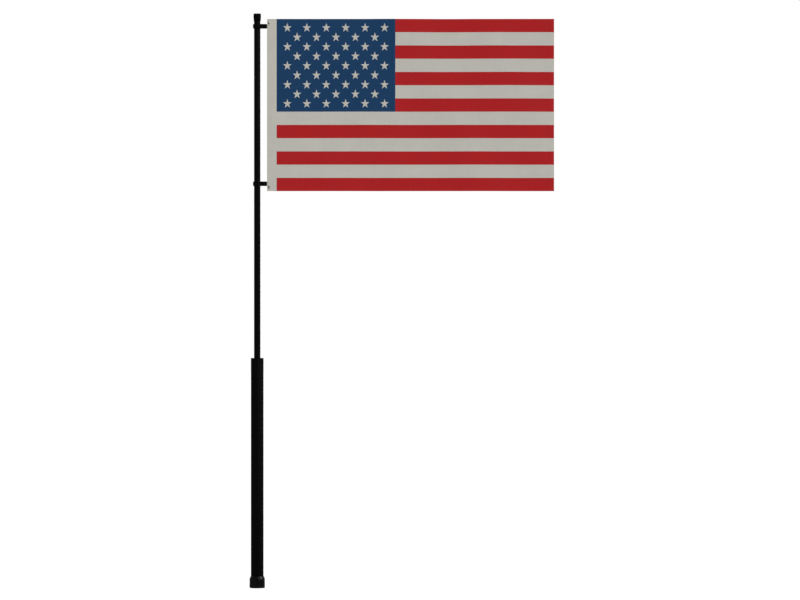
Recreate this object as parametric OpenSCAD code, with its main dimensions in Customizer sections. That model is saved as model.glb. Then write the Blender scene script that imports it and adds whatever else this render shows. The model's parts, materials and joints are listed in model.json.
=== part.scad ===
// Two-section flagpole with a twist lock, a pair of swivel clips and a sewn flag.
// Millimetres, +Z up. The origin is the centre of the foot's underside, the pole stands on +Z,
// and the flag flies towards +X in the plane y = 0, with its front facing -Y.

/* [Pole] */
// Height from the underside of the foot to the top of the cap
pole_h = 3048; // [2900:1:3400]
// Height of the thick lower section, with the flange of its neck bushing
lower_h = 1220; // [1000:1:1300]
// Outer diameter of the lower tube
lower_d = 67.5; // [60:0.5:72]
// Wall of the lower tube
lower_wall = 2.25; // [2:0.25:3]
// Outer diameter of the upper tube
upper_d = 34; // [33:0.5:35]
// Wall of the upper tube
upper_wall = 1.5; // [1:0.25:2]

/* [Foot] */
// Outer diameter of the rubber foot
foot_d = 82; // [78:0.5:90]
// Height of the foot's straight side
foot_side_h = 47; // [35:1:60]
// Height of the sloping shoulder above the straight side
foot_shoulder_h = 15; // [8:1:20]
// Thickness of rubber under the foot's steel disc
foot_base_t = 8; // [6:0.5:12]

/* [Neck] */
// Thickness of the bushing's flange on top of the lower tube
neck_flange_h = 5; // [4:0.5:8]
// Depth of the bushing inside the lower tube
neck_spigot_h = 120; // [80:1:140]
// Height of the neck screws below the top of the flange
neck_screw_drop = 30; // [20:1:50]

/* [Top cap] */
// Largest diameter of the cap
cap_d = 40; // [38:0.5:44]
// Height of the cap
cap_h = 42; // [36:1:50]

/* [Twist lock] */
// Offset of the cam journal from the pole's axis
cam_offset = 1.5; // [1.2:0.1:1.8]
// Turn of the upper section that locks or frees the cam, in degrees
lock_turn = 50; // [40:1:60]

/* [Clips] */
// Outer diameter of a swivel ring
ring_d = 45; // [44:0.5:48]
// Height of a swivel ring with its race
ring_h = 24; // [22:0.5:26]
// Distance from each edge of the flag to the middle of its ring
clip_inset = 39; // [36:0.5:44]
// Distance from each edge of the flag to its eyelet
eyelet_inset = 23; // [20:0.5:25]

/* [Flag] */
// Height of the flag along its hoist
flag_hoist = 914; // [800:1:920]
// Length of the flag along its fly, with the header
flag_fly = 1524; // [1300:1:1530]
// Distance from the pole's axis to the edge of the header
flag_gap = 52; // [52:0.5:54]
// Width of the canvas header
header_w = 51; // [45:0.5:60]
// Width of the union
union_w = 630; // [560:1:640]
// Height of the oval that a star's points lie on
star_d = 51; // [44:0.5:52]
// Width of that oval as a share of its height
star_squeeze = 0.92; // [0.9:0.01:1]
// Distance from each side of the union to the middle of the nearest stars
star_inset = 57; // [45:1:70]
// Distance from the top of the union to the middle of the first row of stars
star_drop = 47; // [40:1:55]
// Distance from the foot of the union to the middle of the last row of stars
star_rise = 42; // [40:1:55]

/* [Hidden] */
$fn = 96;
eps = 0.01; // overshoot of a cut past a face
over = 1; // overshoot of a hole past the surfaces that it goes through
root = 0.5; // depth of a shank's or arm's end inside the shape that it grows from
slip = 0.02; // gap between parts that are fixed together

// Colours
powder_black = [0.045, 0.045, 0.045];
rubber_black = [0.03, 0.03, 0.03];
nylon_black = [0.06, 0.06, 0.06];
nylon_natural = [0.85, 0.83, 0.76];
steel = [0.62, 0.62, 0.64];
nickel = [0.72, 0.71, 0.68];
cloth_white = [0.71, 0.70, 0.67];
cloth_red = [0.63, 0.13, 0.14];
cloth_blue = [0.12, 0.235, 0.37];

// Lower section, from the floor up
lower_r = lower_d / 2;
bore_r = lower_r - lower_wall;
foot_r = foot_d / 2;
disc_t = 1.5;
disc_top = foot_base_t + disc_t;
tube_top = lower_h - neck_flange_h;
neck_bottom = tube_top - neck_spigot_h;
neck_screw_z = lower_h - neck_screw_drop;
neck_sleeve_t = 3; // wall between the bushing's two lands
neck_head_h = 45; // height of the upper land, which takes the screws
neck_land_h = 20; // height of the lower land
neck_edge = 1.5; // chamfer around the flange
neck_lead = 0.8; // chamfer at the mouth of the bore
screw_angles = [45, 135, 225, 315];
screw_depth = 7.5; // length of a neck screw inside the lower tube
screw_end_gap = 0.5; // depth of a blind hole past the end of its screw
screw_r = 2;
head_r = 3.8;
head_h = 2.3;
socket_r = 1.25;
socket_h = 1.2;
fit_hole = 0.1; // extra radius of a hole that a screw passes freely
seal_drop = 3.6; // depth of the seal groove's floor below the top of the flange
seal_groove_h = 2.4;
seal_groove_r = upper_d / 2 + 2.3;
seal_r = 1.1;
seal_gap = 0.05;
tread_r = [12, 21, 30];
tread_w = 4;
tread_t = 1.5;
foot_lip_t = 1.4; // rubber left around the tube at the top of the shoulder

// Upper section and its tail, from the top down
mast_r = upper_d / 2;
mast_bore_r = mast_r - upper_wall;
run_gap = 0.08; // radial clearance of a running fit
cap_top_t = 6;
cap_lip_t = 1.1; // rubber left around the tube at the lower edge of the cap
mast_top = pole_h - cap_top_t;
bumper_h = 5;
bumper_gap = 0.2; // left between the bumper and the bushing at full height
shoulder_top = neck_bottom - bumper_h - bumper_gap;
shoulder_r = 29;
shoulder_t = 6;
guide_journal_r = 22;
guide_h = 24;
guide_gap = 0.1; // radial clearance of the guide in the lower tube
guide_split = 2;
end_play = 0.1;
guide_top = shoulder_top - shoulder_t;
guide_bottom = guide_top - guide_h - 2 * end_play;
lower_shoulder_t = 5;
cam_top = guide_bottom - lower_shoulder_t;
cam_h = 24;
cam_journal_r = 19;
cam_bottom = cam_top - cam_h - 2 * end_play;
washer_t = 3;
washer_r = 27;
cam_screw_r = 4;
cam_screw_depth = 38;
cam_screw_end_gap = 2;
cam_head_r = 7.5;
cam_head_h = 5.3;
spigot_h = 50;
pin_r = 2;
pin_recess = 0.2;
pin_z = [shoulder_top + 15, shoulder_top + 35];
// The cam ring jams when it has moved this far off the pole's axis
cam_shift = 2 * cam_offset * sin(lock_turn / 2);
cam_grip_gap = 0.04; // left between the jammed ring and the tube, so that they don't overlap
cam_ring_r = bore_r - cam_shift - cam_grip_gap;
cam_centre = cam_offset * [1 - cos(lock_turn), sin(lock_turn)];

// Flag, and the clips that carry it
flag_top = pole_h - 28;
flag_bottom = flag_top - flag_hoist;
stripe_n = 13;
union_stripes = 7;
stripe_h = flag_hoist / stripe_n;
field_x = flag_gap + header_w;
union_x = field_x + union_w;
fly_x = flag_gap + flag_fly;
header_t = 1.6;
cloth_t = 0.6;
star_t = 0.25;
star_rows = 9;
star_columns = 11;
upper_z = flag_top - clip_inset;
lower_z = flag_bottom + clip_inset;
race_r = mast_r + 1.6;
race_flange_r = mast_r + 3;
race_flange_t = 2.5;
rivet_angles = [90, 270];
rivet_r = 1.55;
rivet_head_r = 3;
rivet_seat = 0.75; // depth of the flat seat for a rivet's head in a race's core
rivet_tail_r = 2.6;
rivet_tail_t = 1.5;
ring_r = ring_d / 2;
ring_edge_r = 1.5; // width of the chamfer around a ring
ring_edge_h = 2; // height of the chamfer around a ring
ring_inset = 0.2; // how far a ring stops short of its race at each end
split_y = 0.85; // plane where the two halves of a clip meet
arm_end = flag_gap - 0.5;
arm_front = 7;
arm_back = 9;
arm_corner_r = 4;
tab_y = 1.7;
tab_t = 1.5;
tab_half_h = 9;
tab_x = 26;
tab_end = 70;
tab_rise = 24;
tab_foot_x = 54;
tab_corner_r = 4;
pocket_gap = 0.1; // gap around a plate or tongue in its pocket
clip_screw_x = [32, 44];
clip_head_floor = 5.6;
counterbore_r = head_r + 0.4;
clip_screw_tip = -4.5;
// Lap that holds the far side of a ring together
tongue_x = -21.7;
tongue_t = 1.4;
tongue_l = 3.7;
tongue_half_h = 6;
eyelet_x = flag_gap + 9.5;
eyelet_rise = clip_inset - eyelet_inset;
eyelet_hole_r = 3.5;
eyelet_barrel_r = 4.3;
eyelet_rim_r = 6.5;
eyelet_rim_t = 0.7;
eyelet_set = 0.3; // how far the barrel reaches into the washer
hook_r = 2;
hook_bend_r = 3;
hook_front = 2;
hook_leg = 6;
hook_head_r = 3.6;
hook_head_t = 1.3;
reach = 60; // half the size of a box that cuts a clip in two

// A tube or ring with its axis on Z, between two heights
module tube(outer, inner, z0, z1) {
  difference() {
    translate([0, 0, z0]) cylinder(r = outer, h = z1 - z0);
    translate([0, 0, z0 - eps]) cylinder(r = inner, h = z1 - z0 + 2 * eps);
  }
}

// A disc or rod with its axis on Z, between two heights
module rod(radius, z0, z1) {
  translate([0, 0, z0]) cylinder(r = radius, h = z1 - z0);
}

// A rod along +X, between two distances from the pole's axis
module rod_x(radius, x0, x1) {
  translate([x0, 0, 0]) rotate([0, 90, 0]) cylinder(r = radius, h = x1 - x0);
}

// A rod along Y at a point of the plane y = 0, between two depths
module rod_y(radius, x, z, y0, y1) {
  translate([x, y1, z]) rotate([90, 0, 0]) cylinder(r = radius, h = y1 - y0);
}

// A box given by its two corners
module block(low, high) {
  translate(low) cube(high - low);
}

// Puts a clip's own geometry at the upper ring, or mirrored at the lower ring
module at_clip(upper) {
  if (upper) translate([0, 0, upper_z]) children();
  else translate([0, 0, lower_z]) mirror([0, 0, 1]) children();
}

// ---- Lower section ----

module lower_tube() {
  color(powder_black) difference() {
    tube(lower_r, bore_r, disc_top, tube_top);
    for (a = screw_angles) rotate([0, 0, a]) translate([0, 0, neck_screw_z])
      rod_x(screw_r + fit_hole, bore_r - over, lower_r + over);
  }
}

// Reducer in the mouth of the lower tube: a flange, and two lands joined by a sleeve
module neck_bushing() {
  hub_r = mast_r + run_gap;
  sleeve_r = hub_r + neck_sleeve_t;
  land_r = bore_r - slip;
  color(nylon_black) difference() {
    rotate_extrude() polygon([
      [hub_r, neck_bottom], [land_r - neck_lead, neck_bottom], [land_r, neck_bottom + neck_lead],
      [land_r, neck_bottom + neck_land_h], [sleeve_r, neck_bottom + neck_land_h],
      [sleeve_r, tube_top - neck_head_h], [land_r, tube_top - neck_head_h],
      [land_r, tube_top], [lower_r, tube_top], [lower_r, lower_h - neck_edge],
      [lower_r - neck_edge, lower_h], [hub_r + neck_lead, lower_h], [hub_r, lower_h - neck_lead]
    ]);
    tube(seal_groove_r, hub_r - over, lower_h - seal_drop, lower_h - seal_drop + seal_groove_h);
    for (a = screw_angles) rotate([0, 0, a]) translate([0, 0, neck_screw_z])
      rod_x(screw_r + slip, bore_r - screw_depth - screw_end_gap, bore_r + over);
  }
}

// Wiper ring that stops the upper tube from rattling in the bushing
module neck_seal() {
  color(rubber_black) translate([0, 0, lower_h - seal_drop + seal_groove_h / 2])
    rotate_extrude() translate([mast_r + seal_gap + seal_r, 0]) circle(r = seal_r);
}

module neck_screws() {
  color(steel) for (a = screw_angles) rotate([0, 0, a]) translate([0, 0, neck_screw_z]) {
    rod_x(screw_r, bore_r - screw_depth, lower_r + root);
    difference() {
      rod_x(head_r, lower_r + slip, lower_r + head_h);
      rod_x(socket_r, lower_r + head_h - socket_h, lower_r + head_h + over);
    }
  }
}

// Rubber ferrule with a tread of rings underneath
module foot_cap() {
  top = foot_side_h + foot_shoulder_h;
  color(rubber_black) difference() {
    rotate_extrude() polygon([
      [0, 0], [foot_r, 0], [foot_r, foot_side_h], [lower_r + foot_lip_t, top],
      [lower_r + slip, top], [lower_r + slip, foot_base_t], [0, foot_base_t]
    ]);
    for (r = tread_r) tube(r + tread_w, r, -over, tread_t);
  }
}

module foot_disc() {
  color(steel) rod(lower_r - slip, foot_base_t, disc_top - eps);
}

// ---- Guide ----

// Split nylon ring that keeps the tail centred and lets it turn
module guide_ring() {
  color(nylon_natural) difference() {
    tube(bore_r - guide_gap, guide_journal_r + run_gap,
         guide_bottom + end_play, guide_top - end_play);
    block([0, -guide_split / 2, guide_bottom], [bore_r, guide_split / 2, guide_top]);
  }
}

// ---- Upper section ----

// The two radial rivet holes of a race, through its core and the upper tube
module race_rivet_holes() {
  for (a = rivet_angles) rotate([0, 0, a]) rod_x(rivet_r + slip, mast_bore_r - over, race_r + over);
}

// The two crossed pins through the upper tube and its plug, of a given size
module cross_pins(radius, reach_x) {
  for (i = [0, 1]) translate([0, 0, pin_z[i]]) rotate([0, 0, 90 * i])
    rod_x(radius, -reach_x, reach_x);
}

module upper_tube() {
  color(powder_black) difference() {
    tube(mast_r, mast_bore_r, shoulder_top, mast_top);
    cross_pins(pin_r + slip, mast_r + over);
    at_clip(true) race_rivet_holes();
    at_clip(false) race_rivet_holes();
  }
}

// Moulded cap over the end of the upper tube, widest a little below its flat top
module top_cap() {
  cap_r = cap_d / 2;
  color(rubber_black) translate([0, 0, pole_h]) rotate_extrude() polygon([
    [0, 0], [cap_r - 1.4, 0], [cap_r - 0.4, -1.2], [cap_r - 0.1, -0.3 * cap_h],
    [cap_r, -0.5 * cap_h], [cap_r - 0.3, -0.6 * cap_h], [mast_r + cap_lip_t, -0.9 * cap_h],
    [mast_r + cap_lip_t, -cap_h], [mast_r + slip, -cap_h],
    [mast_r + slip, -cap_top_t], [0, -cap_top_t]
  ]);
}

// Turned plug in the end of the upper tube, with the guide journal and the offset cam journal
module tail_plug() {
  color(nylon_black) difference() {
    union() {
      rod(mast_bore_r - slip, shoulder_top - eps, shoulder_top + spigot_h);
      rod(shoulder_r, guide_top, shoulder_top);
      rod(guide_journal_r, guide_bottom - eps, guide_top + eps);
      rod(shoulder_r, cam_top, guide_bottom);
      translate([cam_offset, 0, 0]) rod(cam_journal_r, cam_bottom, cam_top + eps);
    }
    rod(cam_screw_r + slip, cam_bottom - over, cam_bottom + cam_screw_depth + cam_screw_end_gap);
    cross_pins(pin_r + slip, mast_r + over);
  }
}

// Rubber ring that cushions the stop at full height
module tail_bumper() {
  color(rubber_black) tube(shoulder_r, mast_r + slip, shoulder_top, shoulder_top + bumper_h);
}

module tail_pins() {
  color(steel) cross_pins(pin_r, mast_r - pin_recess);
}

module cam_washer() {
  color(steel) tube(washer_r, cam_screw_r + fit_hole, cam_bottom - washer_t, cam_bottom);
}

module cam_screw() {
  head_z = cam_bottom - washer_t;
  color(steel) {
    rod(cam_screw_r, head_z - root, cam_bottom + cam_screw_depth);
    translate([0, 0, head_z - cam_head_h]) cylinder(r = cam_head_r, h = cam_head_h, $fn = 6);
  }
}

// Bearing sleeve fixed on the upper tube, with a flange at each end
module race() {
  half = ring_h / 2;
  difference() {
    union() {
      rod(race_r, -half, half);
      rod(race_flange_r, -half, -half + race_flange_t);
      rod(race_flange_r, half - race_flange_t, half);
    }
    rod(mast_r + eps, -half - over, half + over);
    race_rivet_holes();
    for (a = rivet_angles) rotate([0, 0, a])
      rod_x(rivet_head_r + slip, race_r - rivet_seat - slip, race_r + over);
  }
}

// Flush rivets through a race and the upper tube, with their tails inside the tube
module race_rivets() {
  head_x = sqrt(pow(race_r, 2) - pow(rivet_head_r, 2)) - slip;
  tail_x = sqrt(pow(mast_bore_r, 2) - pow(rivet_tail_r, 2)) - slip;
  for (a = rivet_angles) rotate([0, 0, a]) {
    rod_x(rivet_head_r, race_r - rivet_seat, head_x);
    rod_x(rivet_r, tail_x - root, race_r - rivet_seat + slip);
    rod_x(rivet_tail_r, tail_x - rivet_tail_t, tail_x);
  }
}

module upper_race() { color(nylon_black) at_clip(true) race(); }
module lower_race() { color(nylon_black) at_clip(false) race(); }
module upper_race_rivets() { color(steel) at_clip(true) race_rivets(); }
module lower_race_rivets() { color(steel) at_clip(false) race_rivets(); }

// ---- Cam ----

// Nylon ring on the offset journal. Turning the upper section swings it against the lower tube
module cam_ring() {
  color(nylon_natural) difference() {
    translate([cam_centre[0], cam_centre[1], 0])
      rod(cam_ring_r, cam_bottom + end_play, cam_top - end_play);
    translate([cam_offset, 0, 0])
      rod(cam_journal_r + run_gap, cam_bottom, cam_top);
  }
}

// ---- Clips: each is a swivel ring with an arm, split into halves across the pole ----

// Ring and arm in one piece, hollowed to run on the race
module clip_solid() {
  half = ring_h / 2;
  land = half - race_flange_t - end_play;
  rim = half - ring_inset;
  corner_x = arm_end - arm_corner_r;
  corner_z = half - arm_corner_r;
  difference() {
    union() {
      rotate_extrude() polygon([
        [race_r, -rim], [ring_r - ring_edge_r, -rim], [ring_r, ring_edge_h - rim],
        [ring_r, rim - ring_edge_h], [ring_r - ring_edge_r, rim], [race_r, rim]
      ]);
      block([race_flange_r + root, -arm_front, -half], [corner_x, arm_back, half]);
      block([corner_x - root, -arm_front, -corner_z], [arm_end, arm_back, corner_z]);
      for (z = [-corner_z, corner_z]) rod_y(arm_corner_r, corner_x, z, -arm_front, arm_back);
    }
    rod(race_r + run_gap, -half - over, half + over);
    rod(race_flange_r + run_gap, -half - over, -land);
    rod(race_flange_r + run_gap, land, half + over);
  }
}

// Tongue of the front half, grown all round by a gap to make its pocket in the rear half
module tongue(gap) {
  block([tongue_x - gap, split_y - eps, -tongue_half_h - gap],
        [tongue_x + tongue_t + gap, split_y + tongue_l + gap, tongue_half_h + gap]);
}

module clip_front() {
  difference() {
    union() {
      intersection() {
        clip_solid();
        block([-reach, -reach, -reach], [reach, split_y, reach]);
      }
      block([tab_x + pocket_gap, split_y - eps, -tab_half_h],
            [arm_end, tab_y - eps, tab_half_h]);
      tongue(0);
    }
    for (x = clip_screw_x) rod_y(screw_r + slip, x, 0, clip_screw_tip - screw_end_gap, tab_y + over);
  }
}

module clip_back() {
  difference() {
    intersection() {
      clip_solid();
      block([-reach, split_y + slip, -reach], [reach, reach, reach]);
    }
    block([tab_x, 0, -tab_half_h - pocket_gap],
          [arm_end + over, tab_y + tab_t + slip, tab_half_h + pocket_gap]);
    tongue(pocket_gap);
    for (x = clip_screw_x) {
      rod_y(screw_r + fit_hole, x, 0, 0, arm_back + over);
      rod_y(counterbore_r, x, 0, clip_head_floor, arm_back + over);
    }
  }
}

// Steel plate held between the halves. It runs behind the header and carries the hook
module clip_tab() {
  back = tab_y + tab_t;
  corner_x = tab_end - tab_corner_r;
  corner_low = tab_corner_r - tab_half_h;
  corner_high = tab_rise - tab_corner_r;
  difference() {
    union() {
      block([tab_x + 2 * pocket_gap, tab_y, -tab_half_h], [corner_x, back, tab_half_h]);
      block([tab_foot_x, tab_y, -tab_half_h], [corner_x, back, tab_rise]);
      block([corner_x - root, tab_y, corner_low], [tab_end, back, corner_high]);
      for (z = [corner_low, corner_high]) rod_y(tab_corner_r, corner_x, z, tab_y, back);
    }
    for (x = clip_screw_x) rod_y(screw_r + fit_hole, x, 0, tab_y - over, back + over);
    rod_y(hook_r + slip, eyelet_x, eyelet_rise, tab_y - over, back + over);
  }
}

// Hook riveted through the plate. It passes the eyelet and turns away from the flag's middle
module clip_hook() {
  back = tab_y + tab_t;
  translate([eyelet_x, 0, eyelet_rise]) {
    rod_y(hook_head_r, 0, 0, back + slip, back + hook_head_t);
    rod_y(hook_r, 0, 0, -hook_front, back + hook_head_t / 2);
    translate([0, -hook_front, hook_bend_r]) rotate([0, 90, 180])
      rotate_extrude(angle = 90) translate([hook_bend_r, 0]) circle(r = hook_r, $fn = 32);
    translate([0, -hook_front - hook_bend_r, hook_bend_r]) {
      cylinder(r = hook_r, h = hook_leg, $fn = 32);
      translate([0, 0, hook_leg]) sphere(r = hook_r, $fn = 32);
    }
  }
}

module clip_screws() {
  for (x = clip_screw_x) {
    rod_y(screw_r, x, 0, clip_screw_tip, clip_head_floor + root);
    difference() {
      rod_y(head_r, x, 0, clip_head_floor + slip, clip_head_floor + head_h);
      rod_y(socket_r, x, 0, clip_head_floor + head_h - socket_h, clip_head_floor + head_h + over);
    }
  }
}

module upper_ring_front() { color(nylon_black) at_clip(true) clip_front(); }
module upper_ring_back() { color(nylon_black) at_clip(true) clip_back(); }
module upper_tab() { color(powder_black) at_clip(true) clip_tab(); }
module upper_hook() { color(steel) at_clip(true) clip_hook(); }
module upper_clip_screws() { color(steel) at_clip(true) clip_screws(); }
module lower_ring_front() { color(nylon_black) at_clip(false) clip_front(); }
module lower_ring_back() { color(nylon_black) at_clip(false) clip_back(); }
module lower_tab() { color(powder_black) at_clip(false) clip_tab(); }
module lower_hook() { color(steel) at_clip(false) clip_hook(); }
module lower_clip_screws() { color(steel) at_clip(false) clip_screws(); }

// ---- Flag ----

// Front half of an eyelet, with the barrel that goes through the header
module eyelet() {
  half = header_t / 2;
  difference() {
    union() {
      rod_y(eyelet_rim_r, eyelet_x, eyelet_rise, -half - eyelet_rim_t, -half);
      rod_y(eyelet_barrel_r, eyelet_x, eyelet_rise, -half - eps, half + eyelet_set);
    }
    rod_y(eyelet_hole_r, eyelet_x, eyelet_rise, -header_t, header_t);
  }
}

// Rear half, a plain washer that the barrel is set into
module eyelet_washer() {
  half = header_t / 2;
  difference() {
    rod_y(eyelet_rim_r, eyelet_x, eyelet_rise, half, half + eyelet_rim_t);
    rod_y(eyelet_barrel_r + slip, eyelet_x, eyelet_rise, -header_t, header_t);
  }
}

module upper_eyelet() { color(nickel) at_clip(true) eyelet(); }
module upper_eyelet_washer() { color(nickel) at_clip(true) eyelet_washer(); }
module lower_eyelet() { color(nickel) at_clip(false) eyelet(); }
module lower_eyelet_washer() { color(nickel) at_clip(false) eyelet_washer(); }

// Canvas band along the hoist, with a hole for each eyelet
module flag_header() {
  half = header_t / 2;
  color(cloth_white) difference() {
    block([flag_gap, -half, flag_bottom], [field_x, half, flag_top]);
    at_clip(true) rod_y(eyelet_barrel_r + slip, eyelet_x, eyelet_rise, -header_t, header_t);
    at_clip(false) rod_y(eyelet_barrel_r + slip, eyelet_x, eyelet_rise, -header_t, header_t);
  }
}

module flag_union() {
  color(cloth_blue) block([field_x, -cloth_t / 2, flag_top - union_stripes * stripe_h],
                          [union_x, cloth_t / 2, flag_top]);
}

// Stripe number i, counted from the top. The first seven start at the union's edge
module stripe(i) {
  x = i < union_stripes ? union_x : field_x;
  z = flag_top - i * stripe_h;
  block([x, -cloth_t / 2, z - stripe_h], [fly_x, cloth_t / 2, z]);
}

module flag_red_stripes() {
  color(cloth_red) for (i = [0 : 2 : stripe_n - 1]) stripe(i);
}

module flag_white_stripes() {
  color(cloth_white) for (i = [1 : 2 : stripe_n - 1]) stripe(i);
}

// Five-pointed star in the plane y = 0, one point up, with its straight inner corners
module star(depth) {
  inner = cos(72) / cos(36);
  rotate([90, 0, 0]) linear_extrude(depth) polygon([
    for (i = [0 : 9])
      star_d / 2 * (i % 2 == 0 ? 1 : inner) * [star_squeeze * sin(36 * i), cos(36 * i)]
  ]);
}

// Fifty stars on each face, in nine rows of six and five by turns
module flag_stars() {
  column_w = (union_w - 2 * star_inset) / (star_columns - 1);
  row_h = (union_stripes * stripe_h - star_drop - star_rise) / (star_rows - 1);
  color(cloth_white) for (row = [0 : star_rows - 1]) for (column = [0 : star_columns - 1])
    if ((row + column) % 2 == 0)
      for (y = [-cloth_t / 2, cloth_t / 2 + star_t])
        translate([field_x + star_inset + column * column_w, y, flag_top - star_drop - row * row_h])
          star(star_t);
}

lower_tube();
neck_bushing();
neck_seal();
neck_screws();
foot_cap();
foot_disc();
guide_ring();
upper_tube();
top_cap();
tail_plug();
tail_bumper();
tail_pins();
cam_washer();
cam_screw();
upper_race();
lower_race();
upper_race_rivets();
lower_race_rivets();
cam_ring();
upper_ring_front();
upper_ring_back();
upper_tab();
upper_hook();
upper_clip_screws();
lower_ring_front();
lower_ring_back();
lower_tab();
lower_hook();
lower_clip_screws();
upper_eyelet();
upper_eyelet_washer();
lower_eyelet();
lower_eyelet_washer();
flag_header();
flag_union();
flag_red_stripes();
flag_white_stripes();
flag_stars();
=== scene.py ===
"""Looks of a two-section flagpole with a sewn flag on swivel clips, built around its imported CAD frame.

Metres, in the frame of the CAD model: the pole stands on +Z at the origin, the flag flies towards +X and
its front faces -Y.
"""

import json
import math

import bmesh
import bpy
import numpy as np
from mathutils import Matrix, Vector


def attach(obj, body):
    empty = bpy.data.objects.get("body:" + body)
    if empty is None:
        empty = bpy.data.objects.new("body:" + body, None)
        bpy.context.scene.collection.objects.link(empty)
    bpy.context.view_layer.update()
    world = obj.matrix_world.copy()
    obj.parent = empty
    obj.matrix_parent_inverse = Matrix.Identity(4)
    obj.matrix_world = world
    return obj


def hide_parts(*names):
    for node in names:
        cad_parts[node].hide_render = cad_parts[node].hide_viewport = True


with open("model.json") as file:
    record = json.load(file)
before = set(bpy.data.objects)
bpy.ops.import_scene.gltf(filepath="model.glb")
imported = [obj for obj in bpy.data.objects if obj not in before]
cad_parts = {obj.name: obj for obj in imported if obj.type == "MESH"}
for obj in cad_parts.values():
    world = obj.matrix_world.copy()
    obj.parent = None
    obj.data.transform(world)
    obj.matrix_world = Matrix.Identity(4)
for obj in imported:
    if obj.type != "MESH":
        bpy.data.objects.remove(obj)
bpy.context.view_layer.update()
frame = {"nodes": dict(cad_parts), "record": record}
MM = 0.001

# ---------------------------------------------------------------- camera

CAMERA_AIM = (0.758, 1.528)  # x and z of the middle of the view
CAMERA_BACK = 20.0
VIEW_WIDTH = 4.247  # metres across the frame at the pole
SENSOR = 36.0

camera_data = bpy.data.cameras.new("camera")
camera_data.sensor_width = SENSOR
camera_data.lens = SENSOR * CAMERA_BACK / VIEW_WIDTH
camera_data.clip_end = 200
camera = bpy.data.objects.new("camera", camera_data)
camera.location = (CAMERA_AIM[0], -CAMERA_BACK, CAMERA_AIM[1])
camera.rotation_euler = (math.radians(90), 0, 0)
bpy.context.scene.collection.objects.link(camera)
bpy.context.scene.camera = camera


# ---------------------------------------------------------------- materials

def linear(*srgb):
    """A colour given as it looks on screen, from 0 to 255, as Blender's linear values."""
    return tuple((c / 255 / 12.92 if c / 255 < 0.04045 else ((c / 255 + 0.055) / 1.055) ** 2.4)
                 for c in srgb) + (1.0,)


def shade(color, factor):
    """A colour made lighter or darker."""
    return tuple(min(1.0, c * factor) for c in color[:3]) + (1.0,)


class Finish:
    """A Principled material whose colour, roughness and relief come from nodes in the piece's own space."""

    def __init__(self, name, **uniform):
        self.material = bpy.data.materials.new(name)
        self.material.use_nodes = True
        self.tree = self.material.node_tree
        self.shader = self.tree.nodes["Principled BSDF"]
        for socket, value in uniform.items():
            self.shader.inputs[socket.replace("_", " ")].default_value = value
        self.place = self.tree.nodes.new("ShaderNodeTexCoord").outputs["Object"]
        self.normal = None

    def add(self, kind, inputs, **settings):
        node = self.tree.nodes.new(kind)
        for key, value in settings.items():
            setattr(node, key, value)
        for key, value in inputs.items():
            if isinstance(value, bpy.types.NodeSocket):
                self.tree.links.new(value, node.inputs[key])
            else:
                node.inputs[key].default_value = value
        return node

    def at(self, scale):
        return self.add("ShaderNodeMapping", {"Vector": self.place, "Scale": scale}).outputs[0]

    def noise(self, scale, detail=3.0, rough=0.55):
        """Noise from 0 to 1 with that many cells a metre along each axis."""
        scale = scale if hasattr(scale, "__len__") else (scale,) * 3
        return self.add("ShaderNodeTexNoise", {
            "Vector": self.at(scale), "Scale": 1.0, "Detail": detail, "Roughness": rough,
        }).outputs["Fac"]

    def part(self, axis):
        return self.add("ShaderNodeSeparateXYZ", {0: self.place}).outputs[axis]

    def math(self, operation, a, b=0.0):
        return self.add("ShaderNodeMath", {0: a, 1: b}, operation=operation).outputs[0]

    def sum(self, first, *others):
        for other in others:
            first = self.math("ADD", first, other)
        return first

    def span(self, value, low, high, to_low=0.0, to_high=1.0):
        return self.add("ShaderNodeMapRange", {
            "Value": value, "From Min": low, "From Max": high, "To Min": to_low, "To Max": to_high,
        }).outputs[0]

    def weave(self, across, up, pitch):
        """Height of a plain weave in the plane of two axes, from 0 to 1."""
        turn = 2 * math.pi / pitch
        waves = [self.math("SINE", self.math("MULTIPLY", self.part(axis), turn)) for axis in (across, up)]
        return self.span(self.math("MULTIPLY", *waves), -1.0, 1.0)

    def mix(self, factor, a, b):
        return self.add("ShaderNodeMix", {0: factor, 6: a, 7: b}, data_type="RGBA").outputs[2]

    def color(self, socket):
        self.tree.links.new(socket, self.shader.inputs["Base Color"])
        return self

    def rough(self, socket):
        self.tree.links.new(socket, self.shader.inputs["Roughness"])
        return self

    def relief(self, height, depth, strength=1.0):
        inputs = {"Height": height, "Distance": depth, "Strength": strength}
        if self.normal:
            inputs["Normal"] = self.normal
        self.normal = self.add("ShaderNodeBump", inputs).outputs[0]
        self.tree.links.new(self.normal, self.shader.inputs["Normal"])
        return self


DULL_IOR = 1.1  # of the black parts, which hardly shine
CLOTH_IOR = 1.22
FLAG_PITCH, CANVAS_PITCH = 0.7 * MM, 1.2 * MM  # from thread to thread of the weave
SATIN_PITCH = 0.5 * MM
SCUFF_TONE = 6.0  # how much lighter than the coat its scuffs are


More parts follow.
